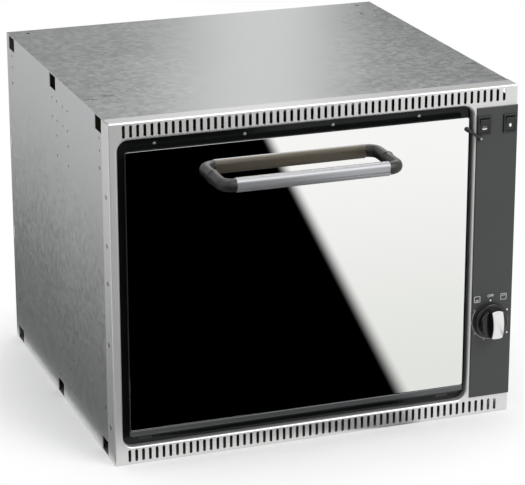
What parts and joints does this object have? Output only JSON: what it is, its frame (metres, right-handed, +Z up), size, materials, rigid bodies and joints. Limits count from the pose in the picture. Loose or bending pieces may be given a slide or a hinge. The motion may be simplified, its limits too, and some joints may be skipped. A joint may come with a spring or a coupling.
{
  "type": "built-in gas oven with grill",
  "caption": "Compact built-in gas oven: steel casing, slotted stainless fascia, drop-down mirror-glass door with bar handle, dark control strip with rocker switches and a knob.",
  "frame": {"origin": "middle of the casing's underside, at half the width and half the depth from the fascia front to the rear edge of the side panels", "axes": "+X to the right seen from the front, +Y to the back, +Z up"},
  "size_m": [0.511, 0.5145, 0.42],
  "materials": {
    "fascia_steel": "fine satin stainless sheet",
    "galvanised": "zinc coated sheet with a faint spangle",
    "panel_grey": "dark grey satin paint",
    "enamel": "glossy black enamel",
    "liner_enamel": "speckled dark enamel",
    "black_glass": "near mirror black glass",
    "clear_glass": "clear heat resistant glass",
    "door_steel": "black painted pressing",
    "trim_grey": "dark grey satin trim",
    "handle_aluminium": "anodised extrusion",
    "black_plastic": "fine textured black moulding",
    "knob_black": "semi-gloss black moulding",
    "knob_silver": "brushed insert",
    "brass": "machined brass",
    "copper_pipe": "drawn copper tube",
    "bright_steel": "plated steel",
    "burner_steel": "heat tinted steel",
    "ceramic": "glazed ceramic",
    "probe_copper": "copper sheath",
    "mineral_wool": "yellowish mineral wool",
    "gasket_rubber": "black silicone rope"
  },
  "bodies": {
    "casing": {"front_fascia": "fascia_steel", "fascia_rivets": "bright_steel", "control_panel": "panel_grey", "light_switch_housing": "black_plastic", "ignition_switch_housing": "black_plastic", "gas_valve": "brass", "door_surround": "enamel", "surround_screws": "bright_steel", "oven_liner": "liner_enamel", "insulation_jacket": "mineral_wool", "door_gasket": "gasket_rubber", "door_catches": "bright_steel", "hinge_lugs": "door_steel", "shelf_runner_left": "bright_steel", "shelf_runner_right": "bright_steel", "oven_burner": "burner_steel", "burner_cover": "enamel", "grill_burner": "burner_steel", "grill_reflector": "burner_steel", "grill_screen": "burner_steel", "thermostat_phial": "copper_pipe", "lamp_holder": "burner_steel", "lamp_bulb": "clear_glass", "lamp_lens": "clear_glass", "flue_duct": "galvanised", "gas_inlet_stub": "brass", "inlet_pipe": "copper_pipe", "oven_gas_pipe": "copper_pipe", "grill_gas_pipe": "copper_pipe", "ignition_module": "black_plastic", "control_partition": "galvanised", "left_side_panel": "galvanised", "right_side_panel": "galvanised", "top_panel": "galvanised", "base_panel": "galvanised", "back_panel": "galvanised", "cable_grommet": "black_plastic", "casing_screws": "bright_steel", "oven_electrode": "ceramic", "oven_thermocouple": "probe_copper", "grill_electrode": "ceramic", "grill_thermocouple": "probe_copper"},
    "door": {"door_glass": "black_glass", "door_frame": "door_steel", "inner_glass": "clear_glass", "door_lower_trim": "trim_grey", "handle_bar": "handle_aluminium", "handle_end_left": "black_plastic", "handle_end_right": "black_plastic", "handle_screws": "bright_steel", "hinge_pins": "bright_steel"},
    "valve_rotor": {"valve_rotor": "brass"},
    "knob": {"knob_body": "knob_black", "knob_insert": "knob_silver", "knob_spindle": "brass"},
    "light_rocker": {"light_rocker": "black_plastic"},
    "ignition_rocker": {"ignition_rocker": "black_plastic"},
    "travel_latch": {"travel_latch": "black_plastic"},
    "wire_shelf": {"wire_shelf": "bright_steel"},
    "drip_tray": {"drip_tray": "enamel"}
  },
  "joints": [
    {"name": "door_hinge", "type": "hinge", "parent": "casing", "child": "door", "pos_m": [0, -0.228, 0.038], "axis": [1, 0, 0], "range_deg": [0, 90]},
    {"name": "knob_turn", "type": "hinge", "parent": "casing", "child": "valve_rotor", "pos_m": [0.2265, -0.2125, 0.124], "axis": [0, -1, 0], "range_deg": [-65, 230]},
    {"name": "knob_push", "type": "slide", "parent": "valve_rotor", "child": "knob", "axis": [0, 1, 0], "range_m": [0, 0.003], "stiffness_N_per_m": 2000, "springref_m": -0.002},
    {"name": "light_switch", "type": "hinge", "parent": "casing", "child": "light_rocker", "pos_m": [0.2109, -0.2305, 0.3735], "axis": [1, 0, 0], "range_deg": [-12, 0]},
    {"name": "ignition_switch", "type": "hinge", "parent": "casing", "child": "ignition_rocker", "pos_m": [0.2446, -0.2305, 0.3735], "axis": [1, 0, 0], "range_deg": [-12, 0], "stiffness_Nm_per_rad": 0.08, "springref_deg": 5.73},
    {"name": "latch_turn", "type": "hinge", "parent": "casing", "child": "travel_latch", "pos_m": [0.2044, -0.2325, 0.359], "axis": [0, -1, 0], "range_deg": [0, 125]},
    {"name": "shelf_slide", "type": "slide", "parent": "casing", "child": "wire_shelf", "axis": [0, -1, 0], "range_m": [0, 0.015]},
    {"name": "tray_slide", "type": "slide", "parent": "casing", "child": "drip_tray", "axis": [0, -1, 0], "range_m": [0, 0.015]}
  ]
}
